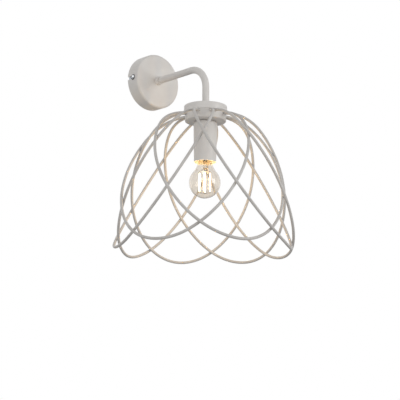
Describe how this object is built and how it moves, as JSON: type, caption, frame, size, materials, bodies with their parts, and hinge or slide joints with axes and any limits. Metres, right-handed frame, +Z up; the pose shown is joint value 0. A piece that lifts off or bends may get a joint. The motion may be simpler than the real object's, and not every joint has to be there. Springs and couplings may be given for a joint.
{
  "type": "cage wall light",
  "caption": "Wall light with a round rose, a bent tube arm and a wire cage of crossing petal loops round a small globe bulb in a plain sleeve, open below.",
  "frame": {"origin": "centre of the wall bracket's back face, on the wall, at the height of the arm", "axes": "+Y into the wall, +Z up, +X to the right for someone who faces the wall"},
  "size_m": [0.2546, 0.2556, 0.3125],
  "materials": {
    "white_powder_coat": "satin",
    "zinc_plated_steel": "satin",
    "chrome_plated_steel": "polished",
    "black_zinc_plated_steel": "satin",
    "brass": "satin",
    "nickel_plated_brass": "polished",
    "glazed_ceramic": "gloss",
    "white_plastic": "matte",
    "brown_sleeving": "matte",
    "blue_sleeving": "matte",
    "green_sleeving": "matte",
    "clear_glass": "gloss",
    "black_glass": "gloss",
    "solder": "satin",
    "filament_coating": "matte",
    "filament_wire": "satin"
  },
  "bodies": {
    "bracket": {"wall_bracket": "zinc_plated_steel", "earth_screw": "brass", "earth_washer": "brass"},
    "light": {"rose_cover": "white_powder_coat", "rose_collar": "white_powder_coat", "earth_tag": "zinc_plated_steel", "rose_washer": "zinc_plated_steel", "rose_nut": "zinc_plated_steel", "arm_tube": "white_powder_coat", "cap_collar": "white_powder_coat", "hub_cap": "white_powder_coat", "hub_spacer": "zinc_plated_steel", "cage_hoop": "white_powder_coat", "cage_plate": "white_powder_coat", "cage_loop_1": "white_powder_coat", "cage_loop_2": "white_powder_coat", "cage_loop_3": "white_powder_coat", "cage_loop_4": "white_powder_coat", "cage_loop_5": "white_powder_coat", "cage_loop_6": "white_powder_coat", "cage_loop_7": "white_powder_coat", "cage_loop_8": "white_powder_coat", "sleeve": "white_powder_coat", "lamp_nut": "zinc_plated_steel", "holder_entry": "zinc_plated_steel", "holder_body": "glazed_ceramic", "contact_shell": "nickel_plated_brass", "contact_spring": "zinc_plated_steel", "live_terminal": "brass", "neutral_terminal": "brass", "live_lead": "brown_sleeving", "neutral_lead": "blue_sleeving", "earth_lead": "green_sleeving", "terminal_block": "white_plastic", "block_tubes": "brass", "block_screws": "zinc_plated_steel"},
    "left_washer": {"left_side_washer": "black_zinc_plated_steel"},
    "left_screw": {"left_side_screw": "chrome_plated_steel"},
    "right_washer": {"right_side_washer": "black_zinc_plated_steel"},
    "right_screw": {"right_side_screw": "chrome_plated_steel"},
    "contact": {"centre_contact": "brass"},
    "bulb_tip": {"bulb_contact": "solder", "bulb_insulator": "black_glass"},
    "bulb": {"bulb_glass": "clear_glass", "bulb_cap": "nickel_plated_brass", "bulb_stem": "clear_glass", "bulb_filaments": "filament_coating", "bulb_wires": "filament_wire"}
  },
  "joints": [
    {"name": "light_off_bracket", "type": "slide", "parent": "bracket", "child": "light", "axis": [0, -1, 0], "range_m": [0, 0.03]},
    {"name": "left_screw_out", "type": "slide", "parent": "bracket", "child": "left_washer", "axis": [-1, 0, 0], "range_m": [0, 0.0035]},
    {"name": "left_screw_turn", "type": "hinge", "parent": "left_washer", "child": "left_screw", "pos_m": [-0.042, -0.013, 0], "axis": [-1, 0, 0], "range_deg": [0, 1800]},
    {"name": "right_screw_out", "type": "slide", "parent": "bracket", "child": "right_washer", "axis": [1, 0, 0], "range_m": [0, 0.0035]},
    {"name": "right_screw_turn", "type": "hinge", "parent": "right_washer", "child": "right_screw", "pos_m": [0.042, -0.013, 0], "axis": [1, 0, 0], "range_deg": [0, 1800]},
    {"name": "contact_press", "type": "slide", "parent": "light", "child": "contact", "axis": [0, 0, 1], "range_m": [0, 0.0008], "stiffness_N_per_m": 800, "springref_m": -0.0015, "deforming": ["contact_spring"]},
    {"name": "bulb_out", "type": "slide", "parent": "light", "child": "bulb_tip", "axis": [0, 0, -1], "range_m": [0, 0.0141]},
    {"name": "bulb_turn", "type": "hinge", "parent": "bulb_tip", "child": "bulb", "pos_m": [0, -0.129, -0.172], "axis": [0, 0, -1], "range_deg": [0, 1800]}
  ],
  "couplings": [
    {"joint": "left_screw_turn", "follows": "left_screw_out", "rad_per_m": 8976},
    {"joint": "right_screw_turn", "follows": "right_screw_out", "rad_per_m": 8976},
    {"joint": "bulb_turn", "follows": "bulb_out", "rad_per_m": 2228.1}
  ]
}
